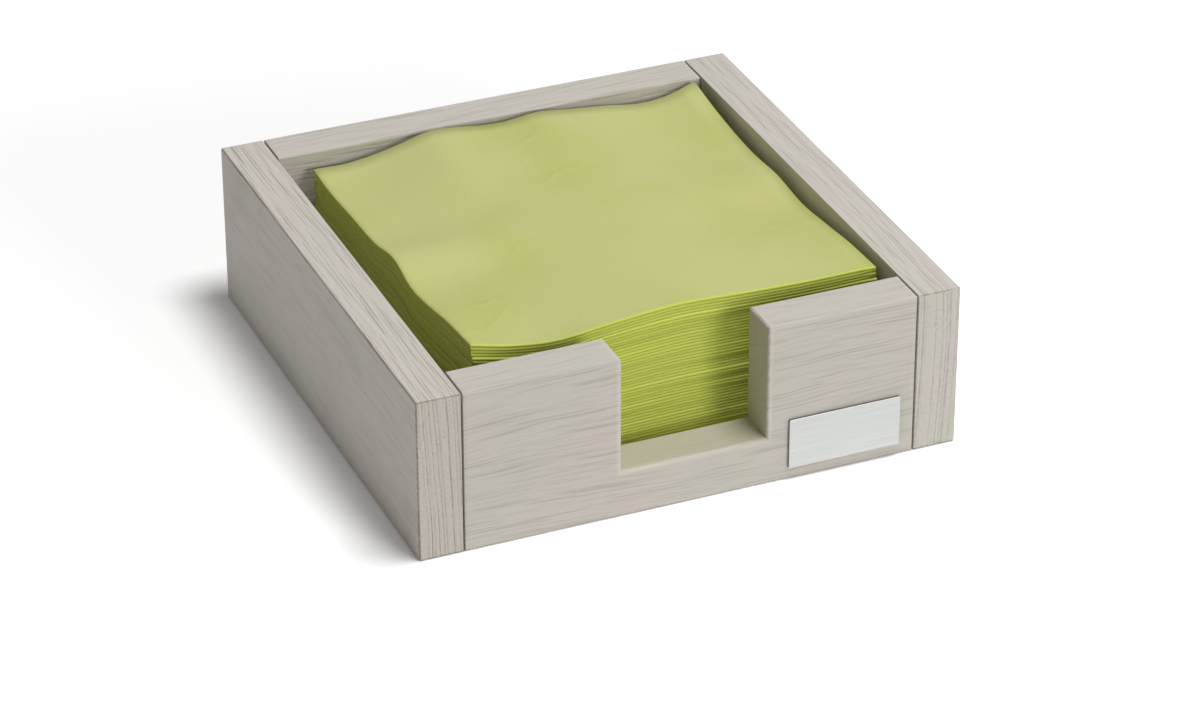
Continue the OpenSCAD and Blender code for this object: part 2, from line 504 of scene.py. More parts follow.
@cache
def long_fibres() -> NodeTree:
    """Builds fine streaks along X of a place from nodes, once for all finishes.

    Returns:
        The node group.
    """
    inputs = {"place": Kind.VECTOR, "length": Kind.NUMBER, "width": Kind.NUMBER}
    graph, given = new_group("long fibres", inputs, {"fibre": Kind.NUMBER})
    sizes = (given["length"], given["width"], given["width"])
    rates = {part: graph.math("DIVIDE", 1.0, size) for part, size in enumerate(sizes)}
    scale = graph.add("ShaderNodeCombineXYZ", rates).outputs[0]
    fibre = graph.noise(graph.vector("MULTIPLY", given["place"], scale), 1.0, 3.0, 0.6)
    graph.add("NodeGroupOutput", {"fibre": fibre})
    return graph.tree


@cache
def eased_edges() -> NodeTree:
    """Builds from nodes how far a face that lies square to the axes has turned over into its edge.

    Returns:
        The node group.
    """
    inputs = {"flat": Kind.NUMBER, "turned": Kind.NUMBER}
    graph, given = new_group("eased edges", inputs, {"edge": Kind.NUMBER})
    largest = graph.largest(graph.vector("ABSOLUTE", graph.normal()))
    graph.add("NodeGroupOutput", {"edge": graph.step(largest, given["flat"], given["turned"])})
    return graph.tree


# ---------- Finishes


class Finish(ABC):
    """What a piece's surface is made of."""

    def material(self, name: str) -> Material:
        """Builds the finish.

        Args:
            name: the material's name.

        Returns:
            The material.
        """
        material = bpy.data.materials.new(name)
        material.use_nodes = True
        graph = Graph(material.node_tree)
        graph.feed(material.node_tree.nodes["Principled BSDF"], self.shading(graph))
        return material

    @abstractmethod
    def shading(self, graph: Graph) -> Terms:
        """What the shader's sockets get, by name."""


@dataclass(frozen=True)
class BrushedBoard(Finish):
    """Bleached softwood: pale ridges, darker lines between them and browner eased edges, which are worn
    wood and partly painted shade.

    Attributes:
        grain: the board's growth rings.
        contrast: strength of its dark lines.
        wear: least and greatest share of the edge colour on the eased edges, which stands for wear and for
            painted shade.
        greyed: share of the line colour all over.
        end_wear: share of the edge colour on the ends of the grain.
        sawn, rubbed: colours of the sawn faces, darker and greener as painted shade and painted bounce
            light from the napkins, and of the rim round them, lighter as rubbed wood and a painted
            highlight.
        sawn, rubbed: colours of the sawn faces and of the rim round them.
        pale, line, edge: colours of the ridges, of the lines and of the worn edges, which is partly painted
            shade.
        rosy, mossy: what the pale wood fades into in places.
        flat_cut, flat_streaks: strength of the lines, and of the finer streaks, on a face that lies
            along the rings.
        fine, streaky, broad: sizes of its fibres, of its streaks and of the fading along its lines.
    """

    grain: Grain
    contrast: float = 1.0
    wear: Pair = (0.35, 0.85)
    greyed: float = 0.0
    end_wear: float = 0.06
    sawn_box: tuple[Triple, Triple] | None = None
    sawn: Colour = paint(171, 166, 144)
    rubbed: Colour = paint(216, 205, 192)
    pale: Colour = paint(200, 195, 186)
    line: Colour = paint(160, 151, 141)
    edge: Colour = paint(142, 129, 115)
    rosy: Colour = paint(202, 194, 187)
    mossy: Colour = paint(197, 195, 184)
    flat_cut: float = 0.30
    flat_streaks: float = 0.85
    fine: Fibres = Fibres(10.0 * MM, 0.30 * MM)
    streaky: Fibres = Fibres(35.0 * MM, 1.2 * MM)
    broad: Fibres = Fibres(90.0 * MM, 6.0 * MM)

    def shading(self, graph: Graph) -> Terms:
        """The wood's tones, then its lines, streaks and fibres, and last the ends, cuts and edges.

        Args:
            graph: the graph of the material's nodes.

        Returns:
            What the shader's sockets get, by name.
        """
        along, across, _ = self.grain.axes().tolist()
        line, place = graph.rings(self.grain)
        fine, streak, broad = (graph.fibres(place, size) for size in (self.fine, self.streaky, self.broad))
        cloud = graph.noise(place, 30, 1)
        facing = graph.facing(across)
        patchy = graph.step(broad, 0.36, 0.58, 0.45 * self.contrast, self.contrast)
        cut_open = graph.step(facing, FLAT_CUT, OPEN_CUT, self.flat_cut)
        dark = graph.times(line, graph.times(patchy, cut_open))
        streaks = graph.times(
            graph.step(streak, 0.48, 0.72, 0, 0.40 * self.contrast),
            graph.step(facing, FLAT_CUT, OPEN_CUT, self.flat_streaks),
        )
        colour = graph.mix(graph.step(cloud, 0.48, 0.70), self.pale, self.rosy)
        colour = graph.mix(graph.step(cloud, 0.52, 0.32), colour, self.mossy)
        for share in (self.greyed, dark, streaks, graph.step(fine, 0.50, 0.72, 0, 0.25)):
            colour = graph.mix(share, colour, self.line)
        end = graph.step(graph.facing(along), 0.6, 0.95, 0, self.end_wear)
        colour = graph.mix(end, colour, self.edge)
        if self.sawn_box:
            past = self.past_box(graph)
            # The rim round the notch turns lighter: rubbed wood, and a painted highlight of its eased edge.
            lit_rim = graph.times(
                graph.step(past, 0.2 * MM, 0.5 * MM), graph.step(past, 1.0 * MM, 2.8 * MM, 0.4, 0)
            )
            colour = graph.mix(lit_rim, colour, self.rubbed)
            # The sawn faces turn darker and greener: painted shade and painted green bounce light over the
            # sawn wood's tone.
            colour = graph.mix(graph.step(past, 0.05 * MM, 0.35 * MM, 0.72, 0), colour, self.sawn)
        # The eased edges turn browner: wear, and painted shade where they round off from the faces.
        worn_and_shaded = graph.times(graph.edge(0.985, 0.87), graph.step(streak, 0.35, 0.60, *self.wear))
        height = graph.math("MULTIPLY_ADD", streak, -0.6, graph.times(fine, -0.5))
        return {
            "Base Color": graph.mix(worn_and_shaded, colour, self.edge),
            "Roughness": graph.step(dark, 0, 1, 0.62, 0.85),
            "Specular IOR Level": 0.25,
            "Normal": graph.bump(height, 0.10 * MM),
        }

    def past_box(self, graph: Graph) -> Socket:
        """Measures from the sawn box.

        Args:
            graph: the graph of the material's nodes.

        Returns:
            How far a point lies past the box, which is below 0 inside it.
        """
        low, high = (Vector(corner) for corner in self.sawn_box)
        from_middle = graph.vector("ABSOLUTE", graph.vector("SUBTRACT", graph.place(), (low + high) / 2))
        return graph.largest(graph.vector("SUBTRACT", from_middle, (high - low) / 2))


@dataclass(frozen=True)
class PlainWood(Finish):
    """Bare wood with faint rings, for the dowels and the base panel's veneer.

    Attributes:
        grain: its growth rings.
        pale, line: colours of the wood and of its rings.
        fine: size of its fibres.
    """

    grain: Grain
    pale: Colour
    line: Colour
    fine: Fibres = Fibres(8.0 * MM, 0.3 * MM)

    def shading(self, graph: Graph) -> Terms:
        """Half-strength rings under darker fibres.

        Args:
            graph: the graph of the material's nodes.

        Returns:
            What the shader's sockets get, by name.
        """
        line, place = graph.rings(self.grain)
        fine = graph.fibres(place, self.fine)
        lined = graph.mix(graph.times(line, 0.5), self.pale, self.line)
        return {
            "Base Color": graph.mix(graph.step(fine, 0.5, 0.75, 0, 0.4), lined, self.line),
            "Roughness": graph.step(fine, 0.3, 0.7, 0.55, 0.7),
            "Normal": graph.bump(fine, 0.05 * MM),
        }


@dataclass(frozen=True)
class BrushedPlate(Finish):
    """Satin aluminium sheet, brushed along its length, with its sides darker as painted shade.

    Attributes:
        face, cut: colours of its face and of its sides, which is painted shade.
        brushing: size of the brush's marks.
    """

    face: Colour = paint(203, 205, 203)
    cut: Colour = paint(120, 120, 114)
    brushing: Fibres = Fibres(30.0 * MM, 0.12 * MM)

    def shading(self, graph: Graph) -> Terms:
        """Brush marks and smudges on the face, and the cut colour, a painted shade, round its sides.

        Args:
            graph: the graph of the material's nodes.

        Returns:
            What the shader's sockets get, by name.
        """
        here = graph.place()
        brushing = graph.fibres(here, self.brushing)
        face = graph.mix(graph.step(brushing, 0.3, 0.7, 0, 0.25), self.face, self.cut)
        # The sides and the rounded rim get the dark cut colour: painted shade on the plate's thin edges.
        sides = graph.step(graph.facing((0, 1, 0)), 0.3, 0.9, 1, 0)
        cut = graph.math("MAXIMUM", sides, graph.times(graph.edge(0.98, 0.85), 0.3))
        return {
            "Base Color": graph.mix(cut, face, self.cut),
            "Metallic": 0.75,
            "Roughness": graph.math("MULTIPLY_ADD", graph.noise(here, 90), 0.12, 0.34),
            "Normal": graph.bump(brushing, 0.01 * MM),
        }


@dataclass(frozen=True)
class Cloudy(Finish):
    """An even material with small clouds of a second tone, for the plated screws and the foam.

    Attributes:
        ground, cloud: its two colours.
        scale, detail: clouds a metre, and how finely they break up.
        turning: the noise's values where the cloud's colour starts and where it has come in full.
        roughness: its roughness outside the clouds and within them.
        metallic: 1 for a metal and 0 for anything else.
        relief: how far the clouds stand out.
    """

    ground: Colour
    cloud: Colour
    scale: float
    detail: float
    turning: Pair
    roughness: Pair
    metallic: float
    relief: float

    def shading(self, graph: Graph) -> Terms:
        """One noise for the colour, the roughness and the relief.

        Args:
            graph: the graph of the material's nodes.

        Returns:
            What the shader's sockets get, by name.
        """
        clouds = graph.noise(graph.place(), self.scale, self.detail)
        return {
            "Base Color": graph.mix(graph.step(clouds, *self.turning), self.ground, self.cloud),
            "Metallic": self.metallic,
            "Roughness": graph.step(clouds, 0.3, 0.7, *self.roughness),
            "Normal": graph.bump(clouds, self.relief),
        }


@dataclass(frozen=True)
class SoftTissue(Finish):
    """Lime tissue paper, painted paler where it lies face up as a highlight of the light from above, with
    crepe ribs, soft creases and fibres.

    The pattern lies on the sheet's own flat coordinates, in metres, so that it folds with the sheet.

    Attributes:
        lime: colour at the folds and on the underside.
        faded, fresh: the two tones that the upper side drifts between, paler than the lime as a painted
            highlight.
        speck: colour of its sparse specks.
        crepe: size of its crepe ribs.
    """

    lime: Colour = paint(196, 206, 94)
    faded: Colour = paint(193, 194, 132)
    fresh: Colour = paint(187, 189, 117)
    speck: Colour = paint(176, 180, 100)
    crepe: Fibres = Fibres(6.0 * MM, 0.6 * MM)

    def shading(self, graph: Graph) -> Terms:
        """The two drifting tones, a painted highlight, where the sheet lies face up, lime elsewhere, and
        pulp and specks.

        Args:
            graph: the graph of the material's nodes.

        Returns:
            What the shader's sockets get, by name.
        """
        flat = graph.add("ShaderNodeUVMap", uv_map="sheet").outputs[0]
        blotch = graph.noise(flat, 14)
        pulp = graph.noise(flat, 420, 3, 0.6)
        upward = graph.step(graph.dot(graph.normal(), (0, 0, 1)), 0.55, 0.85)
        across, along, _ = graph.parts(graph.vector("ABSOLUTE", flat))
        from_fold = graph.math("MINIMUM", across, along)
        # Face-up parts away from the folds get the pale tones: a painted highlight of the light from above.
        top_highlight = graph.times(upward, graph.step(from_fold, 0.5 * MM, 1.3 * MM))
        # The painted highlight's two tones, which drift at random like the paper's own mottling.
        pale = graph.mix(graph.step(blotch, 0.38, 0.62), self.faded, self.fresh)
        colour = graph.mix(top_highlight, self.lime, pale)
        colour = graph.mix(graph.step(pulp, 0.35, 0.65, 0.12, 0), colour, self.lime)
        specks = graph.step(graph.noise(flat, 800, 1), 0.70, 0.76, 0, 0.7)
        crepe = graph.fibres(flat, self.crepe)
        fine = graph.bump(graph.math("ADD", graph.times(crepe, 0.35), graph.times(pulp, 0.3)), 0.12 * MM)
        creases = graph.times(self.creases(graph, flat), graph.step(blotch, 0.5, 0.65))
        return {
            "Base Color": graph.mix(specks, colour, self.speck),
            "Roughness": 0.9,
            "Specular IOR Level": 0.15,
            "Sheen Weight": 0.05,
            "Sheen Roughness": 0.5,
            "Normal": graph.bump(creases, 0.20 * MM, Normal=fine),
        }

    @staticmethod
    def creases(graph: Graph, flat: Socket) -> Socket:
        """Draws thin creases along the borders of cells, which a cloudy vector bends.

        Args:
            graph: the graph of the material's nodes.
            flat: the sheet's flat coordinates.

        Returns:
            A share that is 1 on a crease.
        """
        bend, bends, density = 4 * MM, 60.0, 45.0
        cloudy = graph.add("ShaderNodeTexNoise", {"Vector": flat, "Scale": bends, "Detail": 1.0})
        bent = graph.vector("ADD", flat, graph.vector("MULTIPLY", (bend, bend, bend), cloudy.outputs[1]))
        terms = {"Vector": bent, "Scale": density}
        cells = graph.add("ShaderNodeTexVoronoi", terms, feature="DISTANCE_TO_EDGE")
        return graph.step(cells.outputs["Distance"], 0.0, 0.10, 1, 0)


# ---------- The holder


@dataclass(frozen=True)
class EasedPiece:
    """A board or plate with rounded edges, and with its dark lines brushed down below its face.

    Its box is sampled on a grid, close together within an edge's radius. Each sample q is drawn to the
    inner box, which is smaller by the radius on every side: with c the nearest point of the inner box
    and n the direction from c to q, the surface is at c + n * (radius - sunk). Last, it's cut to the node.

    Attributes:
        node: the frame's node that it stands for.
        kind: last part of its name.
        slot: its material's slot, which is not used.
        finish: its finish.
        steps: distance between samples along X, Y and Z, fine across the rings.
        grain: the growth rings that its relief follows, or None on a plain piece.
        relief: depth of the lines.
        overrun: how far its box runs past the node at the left and right, where the node's own faces
            are kept.
        radius: radius of its edges.
        inset: how far the whole surface lies inside the box.
        crease_deg: edges sharper than this stay sharp.
        edge_samples: samples round half an edge.
    """

    node: str
    kind: str
    slot: str
    finish: Finish
    steps: Triple
    grain: Grain | None = None
    relief: float = 0.0
    overrun: Pair = (0.0, 0.0)
    radius: float = 0.9 * MM
    inset: float = 0.03 * MM
    crease_deg: float = 42.0
    edge_samples: int = 4

    def corners(self) -> tuple[Array, Array]:
        """The low and the high corner of its box."""
        low, high = (np.array(corner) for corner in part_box(self.node))
        return low - (self.overrun[0], 0, 0), high + (self.overrun[1], 0, 0)

    def samples(self, low: float, high: float, step: float) -> Array:
        """Spreads the samples along one axis, at even angles within each edge's radius.

        Args:
            low, high: the box's ends.
            step: distance between samples.

        Returns:
            Their coordinates.
        """
        inner_low, inner_high = low + self.radius, high - self.radius
        count = max(2, round((inner_high - inner_low) / step) + 1)
        reach = self.radius * np.tan(np.linspace(0, math.pi / 4, self.edge_samples + 1)[1:])
        middle = np.linspace(inner_low, inner_high, count)
        return np.concatenate([inner_low - reach[::-1], middle, inner_high + reach])

    def surface(self) -> tuple[Array, Array]:
        """Makes the six faces of the box, then joins, rounds and brushes them.

        Returns:
            The points and the quads, with their outer side outwards.
        """
        samples = [self.samples(*side) for side in zip(*self.corners(), self.steps)]
        points, quads, first = [], [], 0
        for axis in range(3):
            rows, columns = samples[(axis + 1) % 3], samples[(axis + 2) % 3]
            for side in (0, -1):
                face = np.empty((len(rows), len(columns), 3))
                face[..., axis] = samples[axis][side]
                face[..., (axis + 1) % 3] = rows[:, None]
                face[..., (axis + 2) % 3] = columns[None, :]
                grid = grid_quads(len(rows), len(columns), first)
                points.append(face.reshape(-1, 3))
                quads.append(grid if side else grid[:, ::-1])
                first += len(rows) * len(columns)
        return self.joined(np.concatenate(points), np.concatenate(quads))

    def joined(self, points: Array, quads: Array) -> tuple[Array, Array]:
        """Joins the six faces along the box's edges, then rounds and brushes the surface.

        Args:
            points, quads: the faces, each with points of its own.

        Returns:
            The rounded surface's points and quads.
        """
        keys = np.round(points / SAME_POINT).astype(np.int64)
        _, kept, number = np.unique(keys, axis=0, return_index=True, return_inverse=True)
        points = points[kept]
        low, high = self.corners()
        inner = np.clip(points, low + self.radius, high - self.radius)
        outwards = points - inner
        outwards /= np.linalg.norm(outwards, axis=1, keepdims=True)
        sunk = self.inset
        if self.grain:
            depth = self.relief * self.grain.slant(outwards) * self.grain.lines(points)
            sunk = self.inset + depth[:, None]
        return inner + outwards * (self.radius - sunk), number.reshape(-1)[quads]

    def build(self) -> Piece:
        """Makes the surface and cuts it to the node's ends, corners, rebate, bores and notch.

        Returns:
            The finished piece.
        """
        piece = new_piece(f"{self.node}_{self.kind}", *self.surface())
        cut_to_node(piece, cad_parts[self.node], self.crease_deg)
        dress(piece, self.finish.material(f"{self.node} finish"))
        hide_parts(self.node)
        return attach(piece, HOLDER)


@dataclass(frozen=True)
class Holder:
    """The four boards, the base panel, the fasteners and the plate.

    Attributes:
        side_pitch, cross_pitch: distance between two rings of the side boards and of the cross boards.
        panel_pitch, dowel_pitch: the same for the base panel and the dowels.
        notch: low and high corner of the front board's notch.
        past: how far the boards' blanks run past the ends that are cut to the node.
    """

    side_pitch: float = 1.4 * MM
    cross_pitch: float = 1.7 * MM
    panel_pitch: float = 5.0 * MM
    dowel_pitch: float = 1.3 * MM
    notch: tuple[Triple, Triple] = ((-0.0285, -0.108, 0.0195), (0.0300, -0.0905, 0.067))
    past: float = 2.0 * MM

    def boards(self) -> list[EasedPiece]:
        """Lists the boards: the sides' rings stand nearly upright, and the cross boards' lie aslant.

        Returns:
            The two side boards, the front board and the back board.
        """
        deep, wide = (0.0, 1.0, 0.0), (1.0, 0.0, 0.0)
        left = Grain(deep, (1.0, 0.0, 0.03), self.side_pitch, 0.6, (0.31, 0.07, 0.11))
        right = Grain(deep, (1.0, 0.0, -0.03), self.side_pitch, 0.5, (0.57, 0.23, 0.05))
        front = Grain(wide, (0.0, 0.60, 1.0), self.cross_pitch, 1.2, (0.12, 0.41, 0.33))
        back = Grain(wide, (0.0, -0.75, 1.0), self.cross_pitch, 1.1, (0.44, 0.19, 0.27))
        woods = {
            # The left board's outer edges get the most edge colour: wear and painted shade.
            "left_side": BrushedBoard(left, wear=(0.6, 1.0), end_wear=0.15),
            "right_side": BrushedBoard(right, 0.75, end_wear=0.0),
            "front_board": BrushedBoard(front, 0.55, (0.0, 0.35), 0.12, sawn_box=self.notch),
            "back_board": BrushedBoard(back, 0.7, (0.05, 0.4), 0.06),
        }
        fine, middling, coarse = 0.26 * MM, 0.9 * MM, 1.8 * MM
        upright, aslant = (fine, coarse, middling), (coarse, fine, fine)
        shapes = (
            (upright, 0.16 * MM, (0.0, self.past)),
            (upright, 0.16 * MM, (self.past, 0.0)),
            (aslant, 0.09 * MM, (self.past, self.past)),
            (aslant, 0.10 * MM, (self.past, self.past)),
        )
        return [
            EasedPiece(node, "brushed", "board_wood", wood, steps, wood.grain, relief, overrun)
            for (node, wood), (steps, relief, overrun) in zip(woods.items(), shapes)
        ]

    def dress_nodes(self) -> None:
        """Gives the nodes that stay as they are their finishes."""
        wide = (1.0, 0.0, 0.0)
        veneer = Grain(wide, (0.0, 1.0, 0.12), self.panel_pitch, 2.4, (0.2, 0.1, 0.3))
        turned = Grain(wide, (0.0, 0.3, 1.0), self.dowel_pitch, 0.6)
        zinc, dull = paint(196, 197, 196), paint(150, 150, 144)
        foam, pore = paint(62, 60, 56), paint(34, 33, 31)
        panel = PlainWood(veneer, paint(208, 200, 184), paint(182, 168, 146))
        dowels = PlainWood(turned, paint(214, 186, 146), paint(190, 156, 114))
        screws = Cloudy(dull, zinc, 700, 3, (0.35, 0.65), (0.5, 0.3), 1.0, 0.01 * MM)
        pad = Cloudy(foam, pore, 5000, 2, (0.45, 0.65), (0.85, 0.85), 0.0, 0.03 * MM)
        for node, name, finish in (
            ("base_panel", "panel veneer", panel),
            ("corner_dowels", "dowel wood", dowels),
            ("base_screws", "plated steel", screws),
            ("plate_pad", "adhesive foam", pad),
        ):
            dress(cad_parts[node], finish.material(name))
            log.info("dressed %s", node)

    def build(self) -> list[Piece]:
        """Builds and dresses the whole holder.

        Returns:
            The pieces that were made for it.
        """
        steps = (1.0 * MM, 1.0 * MM, 1.0 * MM)
        plate = EasedPiece(
            "label_plate", "sheet", "plate_metal", BrushedPlate(), steps,
            radius=0.2 * MM, inset=0.005 * MM, crease_deg=30.0,
        )
        self.dress_nodes()
        return [piece.build() for piece in (*self.boards(), plate)]


# ---------- The napkins


class Side(Enum):
    """Edges of the stack, each with its height's knots: (place along it, height), in millimetres.

    The places count from the stack's middle, along X on the front and back, and along Y on the others.
    """

    FRONT = (
        (-82, 68.4), (-66, 64.6), (-48, 62.7), (-30, 64.6), (-14, 66.1),
        (4, 67), (18, 66.4), (34, 65.6), (60, 64.8), (82, 64.8),
    )
    BACK = (
        (-82, 61.2), (-70, 61), (-58, 62.6), (-46, 65.3), (-35, 68.2), (-26, 68), (-12, 66.1), (-2, 65.7),
        (12, 67.3), (24, 65.9), (42, 64.1), (58, 61.9), (67, 62.5), (76, 65), (82, 67.2),
    )
    LEFT = (
        (-82, 68.4), (-60, 66.3), (-38, 62.6), (-24, 61.5), (-6, 65.4),
        (14, 61.8), (42, 60.6), (68, 60.1), (82, 61.2),
    )
    RIGHT = (
        (-82, 64.8), (-60, 64), (-40, 62), (-18, 60.4), (5, 62.2), (28, 61), (64, 64.2), (82, 67.2),
    )

    def height(self, place: Array) -> Array:
        """Reads the edge's height off a smooth curve through its knots.

        Between two knots it's the cubic that has their heights and slopes. A knot's slope is that
        from the knot before it to the one behind it.

        Args:
            place: places along the edge, in metres.

        Returns:
            The height at each of them, in metres.
        """
        at, heights = np.array(self.value).T * MM
        slopes = np.gradient(heights, at)
        knot = np.clip(np.searchsorted(at, place) - 1, 0, len(at) - 2)
        span = at[knot + 1] - at[knot]
        share = np.clip((place - at[knot]) / span, 0, 1)
        leaving = share * (1 - share) ** 2 * span * slopes[knot]
        arriving = share * share * (1 - share) * span * slopes[knot + 1]
        return between(smooth_step(0, 1, share), heights[knot], heights[knot + 1]) + leaving - arriving


@dataclass(frozen=True)
class StackShape:
    """The soft stack's layers, flat at its foot and wavy on top.

    Attributes:
        half: half the side of a folded napkin.
        foot: height of the lowest napkin's underside in the frame.
        flat_top: height of the top napkin's upper face in the frame.
        fade: how far an edge's waves reach inwards.
        rise: how late the waves come in towards the top, as the power of a point's share of the height.
    """

    half: float
    foot: float
    flat_top: float
    fade: float = 42 * MM
    rise: float = 1.1

    def lift(self, x: Array, y: Array, z: Array) -> Array:
        """How far the top's waves lift each point of the flat stack, less and less towards the foot."""
        share = np.clip((z - self.foot) / (self.flat_top - self.foot), 0, 1)
        return self.wave(x, y) * share ** self.rise

    def wave(self, x: Array, y: Array) -> Array:
        """How far the top lies above its flat height.

        The four corners span a bilinear surface. Each edge adds its own height over the line between
        its corners, times exp(-(d / fade)^2) at the distance d from that edge.

        Args:
            x, y: places from the stack's middle.

        Returns:
            The height over flat_top at each place.
        """
        right, back = (np.clip(place / self.half, -1, 1) / 2 + 0.5 for place in (x, y))
        ends = np.array([-self.half, self.half])
        front_left, front_right = Side.FRONT.height(ends)
        back_left, back_right = Side.BACK.height(ends)
        front_line = between(right, front_left, front_right)
        back_line = between(right, back_left, back_right)
        left_line = between(back, front_left, back_left)
        right_line = between(back, front_right, back_right)
        top = between(back, front_line, back_line)
        edges = (
            (Side.FRONT.height(x) - front_line, y + self.half),
            (Side.BACK.height(x) - back_line, self.half - y),
            (Side.LEFT.height(y) - left_line, x + self.half),
            (Side.RIGHT.height(y) - right_line, self.half - x),
        )
        for ripple, distance in edges:
            top = top + ripple * np.exp(-((distance / self.fade) ** 2))
        return top - self.flat_top


@dataclass(frozen=True)
class FoldedNapkin:
    """One square sheet, folded in half at its front and again at its left.

    Attributes:
        number: its place in the stack, from 1 at the bottom.
        shape: the stack's shape.
        middle: the middle of its node.
        shift, turn: how far it lies out of line, and how far it's turned.
        start: where its own small ripples start, in radians.
        layer: distance between two of its four layers.
        side: half the side of the flat sheet.
        paper: thickness of the sheet.
        bulge: how far a fold stands out, as a share of half its height.
        fold_samples, flat_samples: points round a fold and from there to each edge.
        crowding: how strongly those points crowd towards the fold.
        ripple, wander: how far its surface and its edges wave.
        ripples, wanders: lengths of those waves along X and Y.
    """

    number: int
    shape: StackShape
    middle: Vector
    shift: Pair
    turn: float
    start: float
    layer: float
    side: float = 165.5 * MM
    bulge: float = 0.05
    paper: float = 0.55 * MM
    fold_samples: int = 9
    flat_samples: int = 34
    crowding: float = 1.35
    ripple: float = 0.015 * MM
    wander: float = 0.12 * MM
    ripples: Pair = (57 * MM, 64 * MM)
    wanders: Pair = (83 * MM, 71 * MM)

    def samples(self) -> Array:
        """Spreads points over the flat sheet from its middle fold, crowded towards the fold.

        Returns:
            Their places.
        """
        widest = 1.5 * self.layer
        bend = math.pi * widest / 2
        outer = bend + (self.side - bend) * np.linspace(0, 1, self.flat_samples + 1)[1:] ** self.crowding
        return np.concatenate([-outer[::-1], np.linspace(-bend, bend, self.fold_samples), outer])

    def bend(self, place: Array, radius: Array | float) -> tuple[Array, Array]:
        """Bends a line round a pressed half circle about its middle.

        Args:
            place: distance along the flat line from its middle.
            radius: half the height of the fold.

        Returns:
            The distance from the fold and the height, which runs from -radius to radius.
        """
        angle = np.clip(place / radius, -math.pi / 2, math.pi / 2)
        straight = np.maximum(np.abs(place) - radius * math.pi / 2, 0)
        return straight - self.bulge * radius * np.cos(angle), radius * np.sin(angle)

    def folded(self) -> tuple[Array, Array, Array, Array, Array]:
        """Folds the sheet twice.

        The first fold sets two layers half a layer's distance above and below the middle. The second
        bends each of them round its own half circle, so that four layers lie over each other.

        Returns:
            The sheet's flat X and Y, and its folded X, Y and Z before it lies in the stack.
        """
        flat_x, flat_y = np.meshgrid(self.samples(), self.samples(), indexing="ij")
        y, lift = self.bend(flat_y, self.layer / 2)
        x, height = self.bend(flat_x, self.layer - lift)
        return flat_x, flat_y, x, y, -height

    def surface(self) -> tuple[Array, Array, Array]:
        """Lays the folded sheet in the stack.

        Returns:
            The napkin's points in the frame, its quads and its flat coordinates.
        """
        flat_x, flat_y, x, y, z = self.folded()
        half = self.shape.half
        x = x - half + self.wander * np.sin(TURN * y / self.wanders[1] + self.start)
        y = y - half + self.wander * np.sin(TURN * x / self.wanders[0] + 2 * self.start)
        cosine, sine = math.cos(self.turn), math.sin(self.turn)
        in_x = cosine * x - sine * y + self.shift[0]
        in_y = sine * x + cosine * y + self.shift[1]
        waves = in_x / self.ripples[0] + in_y / self.ripples[1]
        own = self.ripple * np.sin(TURN * waves + self.start)
        z = z + self.shape.lift(in_x, in_y, self.middle.z + z) + own
        points = np.stack([in_x, in_y, z], axis=-1).reshape(-1, 3) + np.array(self.middle)
        flat = np.stack([flat_x, flat_y], axis=-1).reshape(-1, 2)
        return points, grid_quads(*flat_x.shape), flat

    def build(self, material: Material, rests_on: str, body: str) -> Piece:
        """Makes the napkin.

        Args:
            material: the tissue.
            rests_on: what it lies on, which is not used.
            body: the frame's body that it moves with.

        Returns:
            The finished piece.
        """
        node = f"napkin_{self.number:02d}"
        points, quads, flat = self.surface()
        piece = new_piece(f"{node}_sheet", points, quads)
        sheet = piece.data.uv_layers.new(name="sheet")
        corners = np.empty(len(piece.data.loops), dtype=np.int32)
        piece.data.loops.foreach_get("vertex_index", corners)
        sheet.uv.foreach_set("vector", flat[corners].astype(np.float32).ravel())
        wall = piece.modifiers.new("paper", "SOLIDIFY")
        wall.thickness = self.paper
        wall.offset = 0
        dress(piece, material)
        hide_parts(node)
        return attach(piece, body)


@dataclass(frozen=True)
class NapkinStack:
    """The napkins in the well, each a little out of line.

    Attributes:
        shift_spread: how far the napkins lie out of line along X and Y, as standard deviations.
        turn_deg, turn_spread_deg: how far they're turned, as mean and standard deviation.
        layer, layer_spread: distance between a napkin's layers, likewise.
        layer_limit: greatest such distance, so that the napkins stay apart.
        seed: start of the random draws.
    """

    shift_spread: Pair = (0.30 * MM, 0.13 * MM)
    turn_spread_deg: float = 0.10
    turn_deg: float = 0.5
    layer: float = 0.62 * MM
    layer_spread: float = 0.012 * MM
    layer_limit: float = 0.63 * MM
    seed: int = 1557

    def build(self) -> list[Piece]:
        """Builds the napkins from the bottom up.

        Returns:
            The napkins, in that order.
        """
        names = sorted(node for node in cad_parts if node.startswith("napkin_"))
        tissue = SoftTissue().material("lime tissue")
        foot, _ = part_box(names[0])
        low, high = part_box(names[-1])
        shape = StackShape((high.x - low.x) / 2, foot.z, high.z)
        draw = np.random.default_rng(self.seed)
        pieces = []
        rests_on = "base_panel"
        for number, name in enumerate(names, start=1):
            low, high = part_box(name)
            shift_x, shift_y, turn, loft = draw.normal(size=4)
            napkin = FoldedNapkin(
                number=number,
                shape=shape,
                middle=(low + high) / 2,
                shift=(shift_x * self.shift_spread[0], shift_y * self.shift_spread[1]),
                turn=math.radians(self.turn_deg + turn * self.turn_spread_deg),
                start=draw.uniform(0, TURN),
                layer=min(self.layer + loft * self.layer_spread, self.layer_limit),
            )
            body = TOP_NAPKIN if number == len(names) else STACK
            pieces.append(napkin.build(tissue, rests_on, body))
            rests_on = pieces[-1].name
        return pieces


# ---------- The studio


